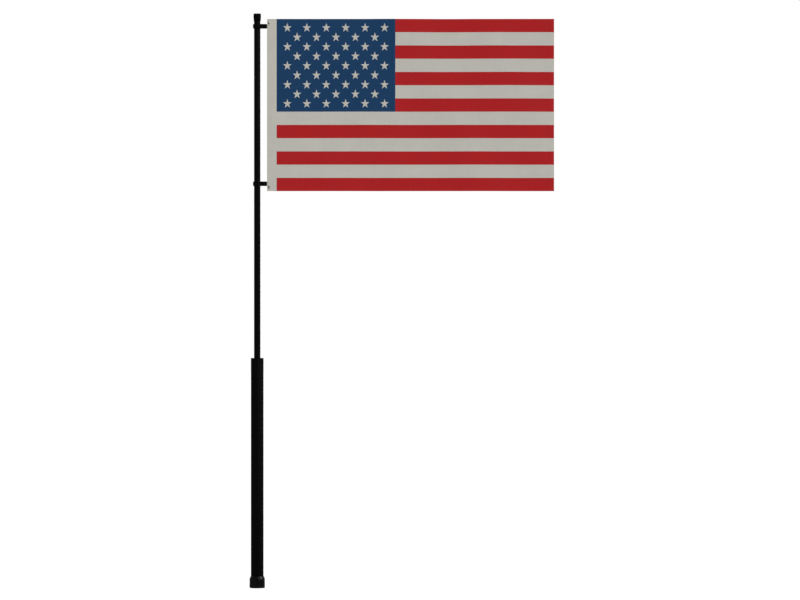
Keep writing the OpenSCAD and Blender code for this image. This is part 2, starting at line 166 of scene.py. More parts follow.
def cloth_finish(name, color, pitch, streak=0.035, mottle=0.03):
    """Woven cloth: a plain weave, slubs along the thread, a faint unevenness of the dye, and painted shade
    that makes the hollows of the weave darker.
    """
    f = Finish(name, Sheen_Weight=0.04, Sheen_Roughness=0.5, IOR=CLOTH_IOR)
    slub = f.noise((5, 5, 520), detail=2.0)
    cross = f.noise((420, 5, 9), detail=2.0)
    cloud = f.noise(9.0, detail=4.0, rough=0.6)
    weave = f.weave(0, 2, pitch)
    # The weave's term in this sum is painted shade: darker colour in the hollows of the weave, lighter on
    # its crossings.
    uneven_and_weave_shade = f.sum(f.span(slub, 0.3, 0.7, -streak, streak), f.span(cloud, 0.3, 0.7, -mottle, mottle),
                   f.span(cross, 0.3, 0.7, -0.6 * streak, 0.6 * streak),
                   f.span(weave, 0.0, 1.0, -0.03, 0.03))
    f.color(f.mix(f.span(uneven_and_weave_shade, -0.12, 0.12), shade(color, 0.88), shade(color, 1.12)))
    f.rough(f.span(cloud, 0.3, 0.7, 0.78, 0.9))
    f.relief(weave, pitch * 0.3, 0.35)
    f.relief(slub, 0.0003, 0.25)
    f.relief(f.noise(38.0, detail=2.0), 0.0012, 0.25)
    return f.material


def thread_finish(name, color):
    """Polyester sewing thread, with the twist of its strands."""
    f = Finish(name, Sheen_Weight=0.2, Specular_IOR_Level=0.35)
    twist = f.noise(1400, detail=1.0)
    f.color(f.mix(twist, shade(color, 0.82), shade(color, 1.12)))
    f.rough(f.span(twist, 0.3, 0.7, 0.45, 0.65))
    f.relief(twist, 0.0001, 0.6)
    return f.material


def embroidery_finish(name, color):
    """Satin stitch: close parallel threads, with a light that runs along them, painted into the colour as
    lighter and darker streaks.
    """
    f = Finish(name, Sheen_Weight=0.15, Specular_IOR_Level=0.25)
    # Streaks along the threads: in the colour a painted sheen, in the roughness an uneven gloss.
    fine = f.noise((260, 40, 2600), detail=1.0)
    lines = f.math("SINE", f.math("MULTIPLY", f.part(2), 2 * math.pi / SATIN_PITCH))
    cloud = f.noise(60.0, detail=2.0)
    tone_and_painted_sheen = f.sum(f.span(fine, 0.3, 0.7, -0.05, 0.05), f.span(cloud, 0.3, 0.7, -0.03, 0.03))
    f.color(f.mix(f.span(tone_and_painted_sheen, -0.1, 0.1), shade(color, 0.9), shade(color, 1.1)))
    f.rough(f.span(fine, 0.3, 0.7, 0.55, 0.75))
    f.relief(f.span(lines, -1.0, 1.0), 0.00012, 0.5)
    return f.material


def coat_finish(name, color, grain=1500.0, rub=0.0):
    """Powder coat: fine orange peel, uneven gloss, faint scuffs, and with rub the fine lines of sliding."""
    f = Finish(name, IOR=DULL_IOR)
    peel = f.noise(grain, detail=2.0)
    cloud = f.noise(14.0, detail=5.0, rough=0.65)
    scuff = f.span(f.noise((90, 90, 7), detail=6.0, rough=0.75), 0.60, 0.74)
    base = f.mix(f.span(cloud, 0.3, 0.7), shade(color, 0.8), shade(color, 1.25))
    base = f.mix(f.math("MULTIPLY", scuff, 0.35), base, shade(color, SCUFF_TONE))
    if rub:
        lines = f.span(f.noise((700, 700, 3), detail=3.0, rough=0.7), 0.52, 0.7)
        base = f.mix(f.math("MULTIPLY", lines, rub), base, shade(color, SCUFF_TONE))
        f.relief(lines, 0.00003, 0.3)
    f.color(base)
    f.rough(f.sum(f.span(cloud, 0.3, 0.7, 0.42, 0.54), f.math("MULTIPLY", scuff, 0.12)))
    f.relief(peel, 0.00008, 0.35)
    return f.material


def rubber_finish(name, color, ior, low, high, dusty_h=0.0):
    """Moulded rubber: matte, slightly mottled, with fine pores, and dust up to dusty_h above the floor."""
    f = Finish(name, IOR=ior)
    bloom = f.noise(45.0, detail=5.0, rough=0.65)
    pores = f.noise(2200.0, detail=2.0)
    base = f.mix(f.span(bloom, 0.35, 0.75), color, shade(color, 1.7))
    if dusty_h:
        patches = f.span(f.noise((190, 190, 80), detail=6.0, rough=0.7), 0.42, 0.66)
        near_floor = f.span(f.part(2), 0.0, dusty_h, 0.5, 0.0)
        base = f.mix(f.math("MULTIPLY", patches, near_floor), base, DUST)
    f.color(base)
    f.rough(f.span(bloom, 0.3, 0.7, low, high))
    f.relief(pores, 0.0001, 0.4)
    return f.material


def nylon_finish(name, color, ior):
    """Moulded nylon with a fine spark-eroded texture."""
    f = Finish(name, IOR=ior)
    grain = f.noise(1800.0, detail=3.0)
    cloud = f.noise(70.0, detail=4.0)
    f.color(f.mix(f.span(cloud, 0.3, 0.7), shade(color, 0.85), shade(color, 1.2)))
    f.rough(f.span(cloud, 0.3, 0.7, 0.42, 0.58))
    f.relief(grain, 0.00006, 0.5)
    return f.material


def metal_finish(name, color, rough, stretch):
    """Machined or plated metal: fine lay marks, spots of dulling."""
    f = Finish(name, Metallic=1.0)
    lay = f.noise(stretch, detail=3.0, rough=0.6)
    dull = f.noise(160.0, detail=4.0)
    f.color(f.mix(f.span(dull, 0.35, 0.75), color, shade(color, 0.72)))
    f.rough(f.sum(f.span(lay, 0.3, 0.7, rough - 0.08, rough + 0.08), f.span(dull, 0.4, 0.8, 0.0, 0.12)))
    f.relief(lay, 0.00003, 0.4)
    return f.material


WHITE = linear(196, 194, 185)
RED = linear(176, 29, 32)
BLUE = linear(22, 60, 98)
BLACK = linear(4, 4, 4)
DUST = linear(58, 54, 48)

cloth_white = cloth_finish("cloth_white", WHITE, FLAG_PITCH)
cloth_red = cloth_finish("cloth_red", RED, FLAG_PITCH)
cloth_blue = cloth_finish("cloth_blue", BLUE, FLAG_PITCH)
canvas = cloth_finish("canvas_white", WHITE, CANVAS_PITCH, streak=0.05)
thread_white = thread_finish("thread_white", linear(216, 214, 206))
thread_red = thread_finish("thread_red", linear(192, 54, 56))
thread_blue = thread_finish("thread_blue", linear(50, 86, 126))
star_filling = embroidery_finish("star_filling", linear(192, 190, 182))
star_border = embroidery_finish("star_border", linear(210, 208, 200))
powder = coat_finish("powder_black", BLACK)
powder_rubbed = coat_finish("powder_black_rubbed", BLACK, rub=0.2)
black_steel = coat_finish("black_steel", BLACK, grain=2200.0)
rubber = rubber_finish("rubber_black", linear(2, 2, 2), 1.16, 0.28, 0.4, dusty_h=0.014)
cap_rubber = rubber_finish("cap_black", linear(3, 3, 3), DULL_IOR, 0.5, 0.62)
nylon_black = nylon_finish("nylon_black", linear(4, 4, 4), DULL_IOR)
nylon_natural = nylon_finish("nylon_natural", linear(228, 222, 204), 1.5)
steel = metal_finish("steel", linear(150, 150, 152), 0.34, 900)
nickel = metal_finish("nickel", linear(188, 186, 180), 0.24, (300, 1200, 300))

SLOT_FINISH = {
    "powder_black": powder, "black_steel": black_steel, "rubber_black": rubber,
    "nylon_black": nylon_black, "nylon_natural": nylon_natural, "steel": steel, "nickel": nickel,
    "canvas_white": canvas, "cloth_white": cloth_white, "cloth_red": cloth_red, "cloth_blue": cloth_blue,
}
SLOT_OF = {s["node"]: s["material_slot"] for s in frame["record"]["subparts"]}


# ---------------------------------------------------------------- mesh helpers

def piece(name, verts, faces, material, body, slot, stands_for=(), crease=35.0):
    """A new mesh that rides on a body. Edges flatter than crease degrees are shaded smooth."""
    mesh = bpy.data.meshes.new(name)
    mesh.from_pydata([tuple(map(float, v)) for v in verts], [], [tuple(map(int, f)) for f in faces])
    mesh.validate()
    mesh.polygons.foreach_set("use_smooth", [True] * len(mesh.polygons))
    mesh.set_sharp_from_angle(angle=math.radians(crease))
    mesh.materials.append(material)
    obj = bpy.data.objects.new(name, mesh)
    bpy.context.scene.collection.objects.link(obj)
    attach(obj, body)
    if stands_for:
        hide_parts(*stands_for)
    return obj


def rounded(points, steps=4):
    """A closed outline of (u, v, radius) corners as plain (u, v) points, each corner turned into an arc."""
    out = []
    n = len(points)
    for i, (u, v, radius) in enumerate(points):
        if radius <= 0:
            out.append((u, v))
            continue
        here = np.array((u, v), float)
        back = np.array(points[i - 1][:2], float) - here
        ahead = np.array(points[(i + 1) % n][:2], float) - here
        lb, la = np.linalg.norm(back), np.linalg.norm(ahead)
        back, ahead = back / lb, ahead / la
        angle = math.acos(max(-1.0, min(1.0, float(back @ ahead))))
        cut = min(radius / math.tan(angle / 2), 0.49 * lb, 0.49 * la)
        radius = cut * math.tan(angle / 2)
        middle = back + ahead
        centre = here + middle / np.linalg.norm(middle) * radius / math.sin(angle / 2)
        start, end = here + back * cut - centre, here + ahead * cut - centre
        a0, a1 = math.atan2(start[1], start[0]), math.atan2(end[1], end[0])
        turn = (a1 - a0 + math.pi) % (2 * math.pi) - math.pi
        for k in range(steps + 1):
            a = a0 + turn * k / steps
            out.append(tuple(centre + radius * np.array((math.cos(a), math.sin(a)))))
    return out


def lathe(outline, segments):
    """Vertices and faces of a closed (r, z) outline turned round Z. Points at r = 0 become one vertex."""
    angles = np.arange(segments) * 2 * math.pi / segments
    verts, rings = [], []
    for r, z in outline:
        if r < 1e-9:
            rings.append([len(verts)] * segments)
            verts.append((0.0, 0.0, z))
        else:
            rings.append(list(range(len(verts), len(verts) + segments)))
            verts += [(r * math.cos(a), r * math.sin(a), z) for a in angles]
    faces = []
    for low, high in zip(rings, rings[1:] + rings[:1]):
        for i in range(segments):
            j = (i + 1) % segments
            face = [low[i], low[j], high[j], high[i]]
            face = [v for k, v in enumerate(face) if v != face[k - 1]]
            if len(face) >= 3:
                faces.append(face)
    return verts, faces


def moved(shape, turn=None, offset=(0, 0, 0)):
    """A (verts, faces) pair under a 3x3 matrix and an offset."""
    verts, faces = shape
    v = np.array(verts, float)
    if turn is not None:
        v = v @ np.array(turn, float).T
    return v + np.array(offset, float), faces


def in_mm(points):
    """Points given in millimetres, in metres."""
    return [tuple(c * MM for c in p) for p in points]


def joined(*shapes):
    """Several (verts, faces) pairs as one."""
    verts, faces, start = [], [], 0
    for v, f in shapes:
        verts += [tuple(p) for p in v]
        faces += [[i + start for i in face] for face in f]
        start += len(v)
    return verts, faces


# Axis turns: Z to X, Z to -Y (towards the front) and Z to +Y (towards the back)
TO_X = ((0, 0, 1), (0, 1, 0), (-1, 0, 0))
TO_FRONT = ((1, 0, 0), (0, 0, -1), (0, 1, 0))
TO_BACK = ((1, 0, 0), (0, 0, 1), (0, -1, 0))


def about_z(degrees):
    """A 3x3 turn about the pole's axis."""
    c, s = math.cos(math.radians(degrees)), math.sin(math.radians(degrees))
    return ((c, -s, 0), (s, c, 0), (0, 0, 1))


def rimmed(node, plane, width, segments=3, crease=30.0):
    """Vertices and faces of a CAD node, with the rim of its face at y = plane rounded over."""
    bm = bmesh.new()
    bm.from_mesh(frame["nodes"][node].data)
    bmesh.ops.remove_doubles(bm, verts=bm.verts, dist=0.001 * MM)
    bmesh.ops.dissolve_limit(bm, angle_limit=math.radians(0.5), verts=bm.verts, edges=bm.edges)
    rims = [e for e in bm.edges if e.is_convex and e.calc_face_angle(0.0) > math.radians(crease)
            and all(abs(v.co.y - plane) < 0.01 * MM for v in e.verts)]
    bmesh.ops.bevel(bm, geom=rims, offset=width, offset_type="OFFSET", segments=segments,
                    profile=0.5, affect="EDGES", clamp_overlap=False)
    bm.verts.ensure_lookup_table()
    shape = [tuple(v.co) for v in bm.verts], [[v.index for v in f.verts] for f in bm.faces]
    bm.free()
    return shape


# ---------------------------------------------------------------- sizes, as in the CAD model

GAP, HEADER_W, UNION_W, FLY = 0.052, 0.051, 0.630, 1.576  # hoist, header's and union's widths, fly end
FIELD_X = GAP + HEADER_W
UNION_X = FIELD_X + UNION_W
FLAG_TOP, FLAG_BOTTOM = 3.020, 2.106
STRIPES, UNION_STRIPES = 13, 7
STRIPE = (FLAG_TOP - FLAG_BOTTOM) / STRIPES
UPPER_Z, LOWER_Z = FLAG_TOP - 39 * MM, FLAG_BOTTOM + 39 * MM  # of the clips
EYELET_X, EYELET_RISE = GAP + 9.5 * MM, 16 * MM  # the rise is above the upper clip, or below the lower


# ---------------------------------------------------------------- pole

ROUND = 128  # sides of a large round piece


def turned(name, corners, material, body, slot, stands_for):
    """A lathe piece from (r, z, corner radius) in millimetres."""
    return piece(name, *lathe(in_mm(rounded(corners)), ROUND), material, body, slot, stands_for)


turned("lower_tube_wall", [(31.5, 9.5, 0.3), (33.75, 9.5, 0.3), (33.75, 1215, 0.3), (31.5, 1215, 0.3)],
       powder, "lower_pole", "powder_black", ["lower_tube"])

turned("upper_tube_wall", [(15.5, 1089.8, 0.3), (17, 1089.8, 0.3), (17, 3042, 0.3), (15.5, 3042, 0.3)],
       powder_rubbed, "mast", "powder_black", ["upper_tube"])

# Foot: bead near the floor, sloping shoulder, rings of tread underneath
FOOT = [
    (0, 0, 0), (12, 0, 0.4), (12, 1.5, 0.3), (16, 1.5, 0.3), (16, 0, 0.4), (21, 0, 0.4), (21, 1.5, 0.3),
    (25, 1.5, 0.3), (25, 0, 0.4), (30, 0, 0.4), (30, 1.5, 0.3), (34, 1.5, 0.3), (34, 0, 0.4),
    (40.2, 0, 2.2), (41.0, 7, 0.5), (41.35, 9, 0.5), (41.35, 12, 0.5), (41.0, 14, 0.5),
    (41.0, 44.2, 0.5), (40.5, 44.8, 0.3), (40.5, 45.4, 0.3), (41.0, 46, 0.5), (41.0, 48.5, 1.5),
    (36.2, 61.2, 1.2), (35.1, 62, 0.5), (33.77, 62, 0.2), (33.77, 8, 0.5), (0, 8, 0),
]
turned("foot_rubber", FOOT, rubber, "lower_pole", "rubber_black", ["foot_cap"])

# Neck bushing: a flange, and two lands joined by a sleeve
NECK = [
    (17.08, 1095, 0.3), (31.48, 1095, 0.8), (31.48, 1115, 0.5), (20.08, 1115, 1.5), (20.08, 1170, 1.5),
    (31.48, 1170, 0.5), (31.48, 1215, 0), (33.75, 1215, 0.3), (33.75, 1220, 1.6), (22.6, 1220, 0.4),
    (21.6, 1219.3, 0.4), (19.4, 1219.3, 0.3), (18.4, 1219.9, 0.3), (17.08, 1219.0, 0.5),
    (17.08, 1218.8, 0), (19.3, 1218.8, 0.15), (19.3, 1216.4, 0.15), (17.08, 1216.4, 0),
]
turned("neck_reducer", NECK, nylon_black, "lower_pole", "nylon_black", ["neck_bushing"])

SEAL_R, SEAL_Z, SEAL_HALF = 18.15, 1217.6, 1.1
seal_ring = [(SEAL_R + SEAL_HALF * math.cos(a), SEAL_Z + SEAL_HALF * math.sin(a))
             for a in np.arange(20) * 2 * math.pi / 20]
piece("neck_wiper", *lathe(in_mm(seal_ring), ROUND), rubber, "lower_pole", "rubber_black", ["neck_seal"])

# Cap: rounded rim, a shallow waist below its crown, a taper and a short skirt on the tube
CAP = [
    (0, 3047.4, 0), (13.5, 3047.4, 0.8), (15.2, 3048, 0.8), (18.6, 3048, 1.2), (19.7, 3046.3, 0.8),
    (19.95, 3036, 4), (20.0, 3028, 4), (19.6, 3022.6, 3), (18.3, 3010.5, 1.2), (18.1, 3006.3, 0.4),
    (17.02, 3006, 0.1), (17.02, 3042, 0.2), (0, 3042, 0),
]
turned("mast_cap", CAP[::-1], cap_rubber, "mast", "rubber_black", ["top_cap"])


def bolt(radius, head_r, head_h, length):
    """A button-head screw along Z, with a hexagonal socket. Its shank is below 0 and its head above."""
    n = 48
    hexagon = [0.5 * head_r / math.cos((a + math.pi / 6) % (math.pi / 3) - math.pi / 6)
               for a in np.arange(n) * 2 * math.pi / n]
    dome = [(head_r, 0.0), (head_r, 0.22 * head_h), (0.96 * head_r, 0.45 * head_h),
            (0.86 * head_r, 0.72 * head_h), (0.72 * head_r, 0.92 * head_h), (0.62 * head_r, head_h)]
    verts, faces = [], []

    def ring(radii, z):
        start = len(verts)
        for k in range(n):
            r = radii[k] if hasattr(radii, "__len__") else radii
            a = 2 * math.pi * k / n
            verts.append((r * math.cos(a), r * math.sin(a), z))
        return start

    starts = [ring(radius * 0.8, -length), ring(radius, -length + 0.4 * radius), ring(radius, 0.0)]
    starts += [ring(r, z) for r, z in dome]
    starts += [ring(hexagon, 0.98 * head_h), ring(hexagon, 0.45 * head_h)]
    for low, high in zip(starts, starts[1:]):
        faces += [(low + k, low + (k + 1) % n, high + (k + 1) % n, high + k) for k in range(n)]
    faces.append([starts[0] + k for k in range(n)][::-1])
    faces.append([starts[-1] + k for k in range(n)])
    return verts, faces


SCREW = (2 * MM, 3.8 * MM, 2.2 * MM)  # shank's radius, head's radius and height
NECK_SCREW_X, NECK_SCREW_Z = 33.8 * MM, 1.190  # of the head's underside
neck_screw = moved(bolt(*SCREW, 9 * MM), TO_X, (NECK_SCREW_X, 0, NECK_SCREW_Z))
piece("neck_bolts", *joined(*(moved(neck_screw, about_z(a)) for a in (45, 135, 225, 315))),
      black_steel, "lower_pole", "black_steel", ["neck_screws"])


# ---------------------------------------------------------------- clips

MIRROR = ((1, 0, 0), (0, 1, 0), (0, 0, -1))


def at_clip(shape, upper):
    """A shape drawn about z = 0, moved to the upper clip, or mirrored and moved to the lower one."""
    if upper:
        return moved(shape, None, (0, 0, UPPER_Z))
    verts, faces = moved(shape, MIRROR, (0, 0, LOWER_Z))
    return verts, [list(f)[::-1] for f in faces]


RACE = [
    (17.01, -12, 0.2), (20, -12, 0.5), (20, -9.5, 0.3), (18.6, -9.5, 0.2),
    (18.6, 9.5, 0.2), (20, 9.5, 0.3), (20, 12, 0.5), (17.01, 12, 0.2),
]


def sweep(path, radius, segments=24, cap_rings=4):
    """A round rod along points in a plane of constant x, with a domed far end."""
    path = [np.array(p, float) for p in path]
    verts, faces, rings = [], [], []
    side = np.array((1.0, 0, 0))

    def ring(centre, up, r):
        rings.append(len(verts))
        for k in range(segments):
            a = 2 * math.pi * k / segments
            verts.append(tuple(centre + r * (math.cos(a) * side + math.sin(a) * up)))

    for i, p in enumerate(path):
        ahead = path[min(i + 1, len(path) - 1)] - path[max(i - 1, 0)]
        ahead = ahead / np.linalg.norm(ahead)
        ring(p, np.cross(ahead, side), radius)
    for k in range(1, cap_rings + 1):
        a = 0.5 * math.pi * k / (cap_rings + 0.5)
        ring(path[-1] + ahead * radius * math.sin(a), np.cross(ahead, side), radius * math.cos(a))
    for low, high in zip(rings, rings[1:]):
        faces += [(low + k, low + (k + 1) % segments, high + (k + 1) % segments, high + k)
                  for k in range(segments)]
    faces.append([rings[0] + k for k in range(segments)][::-1])
    faces.append([rings[-1] + k for k in range(segments)])
    return verts, faces


def plate(outline, y0, y1, edge):
    """A flat plate in the XZ plane with softened edges. Its (x, z) points run anticlockwise."""
    n = len(outline)
    loops = []
    for y, inset in ((y0, edge), (y0 + edge, 0), (y1 - edge, 0), (y1, edge)):
        ring = []
        for i, p in enumerate(outline):
            a, b = np.array(outline[i - 1]), np.array(outline[(i + 1) % n])
            along = (b - a) / (np.linalg.norm(b - a) or 1)
            inward = np.array((-along[1], along[0]))
            q = np.array(p) + inward * inset
            ring.append((q[0], y, q[1]))
        loops.append(ring)
    verts = [v for ring in loops for v in ring]
    faces = [list(range(n))]
    for low in range(3):
        faces += [(low * n + (k + 1) % n, low * n + k, (low + 1) * n + k, (low + 1) * n + (k + 1) % n)
                  for k in range(n)]
    faces.append([3 * n + k for k in range(n)][::-1])
    return verts, faces


TAB = [(26.2, -9, 1), (70, -9, 4), (70, 24, 4), (54, 24, 2), (54, 9, 3), (26.2, 9, 1)]
TAB_FRONT, TAB_BACK, TAB_EDGE = 1.7, 3.2, 0.2
HOOK_BEND, HOOK_R = 3.0, 2.0  # bend's radius at the rod's middle, and the rod's


def hook():
    """A rod riveted to the tab's back, which comes out through the eyelet and turns up in front of it."""
    path = [(0, y, 0) for y in (TAB_BACK + 0.6, 1.5, 0.0, -1.2, -2.0)]
    for k in range(1, 9):
        a = 0.5 * math.pi * k / 8
        path.append((0, -2.0 - HOOK_BEND * math.sin(a), HOOK_BEND * (1 - math.cos(a))))
    path += [(0, -2.0 - HOOK_BEND, HOOK_BEND + d) for d in (1.5, 3.0, 4.5, 6.0)]
    head = [(0, 0), (3.6, 0), (3.6, 0.3), (3.3, 0.8), (2.5, 1.15), (1.2, 1.28), (0, 1.3)]
    head = moved(lathe(in_mm(head), 32), TO_BACK, (0, (TAB_BACK + 0.02) * MM, 0))
    return moved(joined(sweep(in_mm(path), HOOK_R * MM), head), None, (EYELET_X, 0, EYELET_RISE))


ARM_FACES = (("front", -7 * MM), ("back", 9 * MM))
ARM_ROUNDING = 0.7 * MM
CLIP_SCREWS_X, CLIP_SCREW_Y = (32 * MM, 44 * MM), 5.62 * MM  # of each head's underside
race = lathe(in_mm(rounded(RACE, 3)), 96)
tab = plate(in_mm(rounded(TAB, 5)), TAB_FRONT * MM, TAB_BACK * MM, TAB_EDGE * MM)
clip_screw = bolt(*SCREW, 9.5 * MM)
clip_screws = joined(*(moved(clip_screw, TO_BACK, (x, CLIP_SCREW_Y, 0)) for x in CLIP_SCREWS_X))
for side in ("upper", "lower"):
    up = side == "upper"
    for name, shape, finish, body, slot, node in (
        ("race_sleeve", race, nylon_black, "mast", "nylon_black", "race"),
        ("tab_plate", tab, black_steel, "flag", "black_steel", "tab"),
        ("flag_hook", hook(), steel, "flag", "steel", "hook"),
        ("clip_bolts", clip_screws, steel, "flag", "steel", "clip_screws"),
    ):
        piece(f"{side}_{name}", *at_clip(shape, up), finish, body, slot, [f"{side}_{node}"])
    for half, plane in ARM_FACES:
        node = f"{side}_ring_{half}"
        piece(f"{side}_clip_{half}", *rimmed(node, plane, ARM_ROUNDING),
              nylon_black, "flag", "nylon_black", [node])


# ---------------------------------------------------------------- flag

CLOTH_H = 0.15 * MM  # half the thickness of the cloth
LAP = 10 * MM  # width of a sewn lap
STEP = 0.17 * MM  # how far a lapped edge stands before or behind the cloth's middle
UNION_STEP = 0.5 * MM  # the same for the union's fly edge, which lies over laps
BEND = 2 * MM  # half the width over which the cloth bends to such a step
FLY_HEM, EDGE_HEM = 20 * MM, 9 * MM
HEM_H = 0.18 * MM  # what a hem adds to half the cloth's thickness
HEM_SLOPE = 1 * MM
TUCK = 12 * MM  # cloth inside the header
CELL, FINE_CELL = 12 * MM, 9 * MM  # of the cloth's grid
NEAR = 0.15 * MM  # grid lines closer than this become one

# Rows of stitches
PITCH = 4 * MM
LAP_ROWS = (1.6 * MM, LAP - 1.6 * MM)  # from the lap's lower edge
FLY_ROWS = (2.5 * MM, 7.5 * MM, 12.5 * MM, 17.5 * MM)  # from the fly end
HEM_ROW = 2 * MM  # inside the hem's folded edge
ROW_END = 1 * MM  # from a row's end to the edge of the cloth

MIDDLE_Z = (FLAG_TOP + FLAG_BOTTOM) / 2
# Height, length, slant and phase of each wave in the cloth
RIPPLES = ((6.0 * MM, 0.74, 0.35, 0.4), (2.8 * MM, 0.41, -0.5, 2.1), (1.1 * MM, 0.23, 0.9, 4.0))
FREE_X, RAMP = FIELD_X + 10 * MM, 0.5  # where the waves start, and the length over which they grow


def ripple(x, z):
    """How far the cloth stands behind the flag's plane. The header stays flat on its clips."""
    u = np.clip((x - FREE_X) / RAMP, 0, 1)
    rise = z - MIDDLE_Z
    waves = sum(h * np.sin(2 * math.pi * (x - lean * rise) / length + phase)
                for h, length, lean, phase in RIPPLES)
    return u * u * (3 - 2 * u) * waves


def ticks(start, end, spacing, *extra):
    """Grid lines from start to end about a spacing apart, with extra ones where the cloth changes."""
    n = max(1, round((end - start) / spacing))
    kept = [start]
    for v in sorted(np.concatenate([np.linspace(start, end, n + 1)[1:-1], extra])):
        if v - kept[-1] > NEAR and end - v > NEAR:
            kept.append(v)
    return np.array(kept + [end])


# Where the cloth thickens to a hem
FLY_FOLD = [FLY - FLY_HEM - HEM_SLOPE, FLY - FLY_HEM]
TOP_FOLD = [FLAG_TOP - EDGE_HEM - HEM_SLOPE, FLAG_TOP - EDGE_HEM]
FOOT_FOLD = [FLAG_BOTTOM + EDGE_HEM, FLAG_BOTTOM + EDGE_HEM + HEM_SLOPE]


def hem_height(x, z):
    """Extra half thickness of the cloth where it is folded over at the fly, the top and the foot."""
    return HEM_H * np.maximum.reduce([np.interp(x, FLY_FOLD, [0, 1]), np.interp(z, TOP_FOLD, [0, 1]),
                                      np.interp(z, FOOT_FOLD, [1, 0])])


def slab(xs, zs, front, back, keep=None):
    """A closed panel over a grid, between two depths given as functions of x and z.
    keep says which cells are cloth, so that a hole can be left."""
    X, Z = np.meshgrid(xs, zs)
    nz, nx = X.shape
    verts = np.concatenate([np.stack([X, f(X, Z), Z], -1).reshape(-1, 3) for f in (front, back)])
    inside = np.ones((nz - 1, nx - 1), bool)
    if keep is not None:
        cx, cz = np.meshgrid((xs[1:] + xs[:-1]) / 2, (zs[1:] + zs[:-1]) / 2)
        inside = keep(cx, cz)
    n, faces = nx * nz, []
    padded = np.pad(inside, 1)
    for j, i in zip(*np.nonzero(inside)):
        a, b, c, d = j * nx + i, j * nx + i + 1, (j + 1) * nx + i + 1, (j + 1) * nx + i
        faces.append((a, b, c, d))
        faces.append((d + n, c + n, b + n, a + n))
        for open_side, p, q in (
            (not padded[j, i + 1], b, a), (not padded[j + 2, i + 1], d, c),
            (not padded[j + 1, i], a, d), (not padded[j + 1, i + 2], c, b),
        ):
            if open_side:
                faces.append((p, q, q + n, p + n))
    used = np.unique([v for f in faces for v in f])
    place = dict(zip(used.tolist(), range(len(used))))
    return verts[used], [[place[v] for v in f] for f in faces]


# One stitch: how far along its row, across it and above the cloth each corner is
STITCH = MM * np.array([
    (0.35, 0, -0.06), (1.0, -0.3, -0.03), (1.0, 0, 0.24), (1.0, 0.3, -0.03),
    (2.9, -0.3, -0.03), (2.9, 0, 0.24), (2.9, 0.3, -0.03), (3.55, 0, -0.06),
])
STITCH_FACES = ((0, 2, 1), (0, 3, 2), (1, 2, 5, 4), (2, 3, 6, 5), (4, 5, 7), (5, 6, 7),
                (0, 1, 3), (1, 4, 6, 3), (4, 7, 6))


class Seams:
    """Rows of stitches, gathered by thread and face of the flag."""

    def __init__(self):
        self.rows = {}

    def sew(self, key, start, end, depth, outward):
        """Stitches from start to end, (x, z) points, on a surface whose depth is a function of x and z.
        outward is -1 on the front and 1 on the back."""
        start, end = np.array(start, float), np.array(end, float)
        length = np.linalg.norm(end - start)
        n = max(1, int(length / PITCH))
        along = (end - start) / length
        across = np.array((-along[1], along[0]))
        first = start + along * (length - n * PITCH) / 2
        a = (np.arange(n) * PITCH)[:, None] + STITCH[None, :, 0]
        p = first + a[..., None] * along + STITCH[None, :, 1, None] * across
        x, z = p[..., 0], p[..., 1]
        y = depth(x, z) + outward * STITCH[None, :, 2]
        verts = np.stack([x, y, z], -1).reshape(-1, 3)
        faces = [[len(STITCH) * k + v for v in (f[::-1] if outward < 0 else f)]
                 for k in range(n) for f in STITCH_FACES]
        self.rows.setdefault(key, []).append((verts, faces))

    def build(self, threads):
        """One piece for each key, such as red_front. threads gives each colour's finish and slot."""
        made = {}
        for key, shapes in self.rows.items():
            finish, slot = threads[key.split("_")[0]]
            made[key] = piece(f"stitches_{key}", *joined(*shapes), finish, "flag", slot, crease=60.0)
        return made


seams = Seams()


def make_stripe(i):
    """Stripe i and its stitches. It goes up behind the stripe above and lies over the one below."""
    top, bottom = FLAG_TOP - i * STRIPE, FLAG_TOP - (i + 1) * STRIPE
    hoist = UNION_X if i < UNION_STRIPES else FIELD_X  # where it starts to show on the front
    first, last = i == 0, i == STRIPES - 1
    lap_top = top if first else top + LAP
    start = hoist - (LAP if i < UNION_STRIPES else TUCK)
    knots, values = [], []
    if not last:
        knots += [bottom, bottom + LAP - BEND, bottom + LAP + BEND]
        values += [-STEP, -STEP, 0]
    if not first:
        knots += [top - BEND, top + BEND, lap_top]
        values += [0, STEP, STEP]

    def middle(x, z):
        return ripple(x, z) + np.interp(z, knots, values)

    def front(x, z):
        return middle(x, z) - CLOTH_H - hem_height(x, z)

    def back(x, z):
        return middle(x, z) + CLOTH_H + hem_height(x, z)

    xs = ticks(start, FLY, CELL, start + 1 * MM, hoist, *FLY_FOLD, FLY - 0.5 * MM)
    hems = (TOP_FOLD if first else []) + (FOOT_FOLD if last else [])
    zs = ticks(bottom, lap_top, FINE_CELL, *(k for k in knots if bottom < k < lap_top), *hems)
    color, finish = (("red", cloth_red), ("white", cloth_white))[i % 2]
    obj = piece(f"stripe_{i + 1:02d}", *slab(xs, zs, front, back), finish, "flag", f"cloth_{color}",
                [f"flag_{color}_stripes"])

    def row(face, x0, z0, x1, z1):
        depth, outward = (front, -1) if face == "front" else (back, 1)
        seams.sew(f"{color}_{face}", (x0, z0), (x1, z1), depth, outward)

    sewn_from = hoist + ROW_END
    for d in LAP_ROWS:
        if not last:
            row("front", sewn_from, bottom + d, FLY - ROW_END, bottom + d)
        if not first:
            row("back", sewn_from, top + d, FLY - ROW_END, top + d)
    for d in FLY_ROWS:
        x, short = FLY - d, 0.5 * ROW_END
        row("front", x, bottom + short, x, top - short)
        row("back", x, bottom + (0 if last else LAP) + short, x, lap_top - short)
    for hem, z in ((first, FLAG_TOP - EDGE_HEM + HEM_ROW), (last, FLAG_BOTTOM + EDGE_HEM - HEM_ROW)):
        if hem:
            for face in ("front", "back"):
                row(face, sewn_from, z, FLY - FLY_HEM, z)


for i in range(STRIPES):
    make_stripe(i)

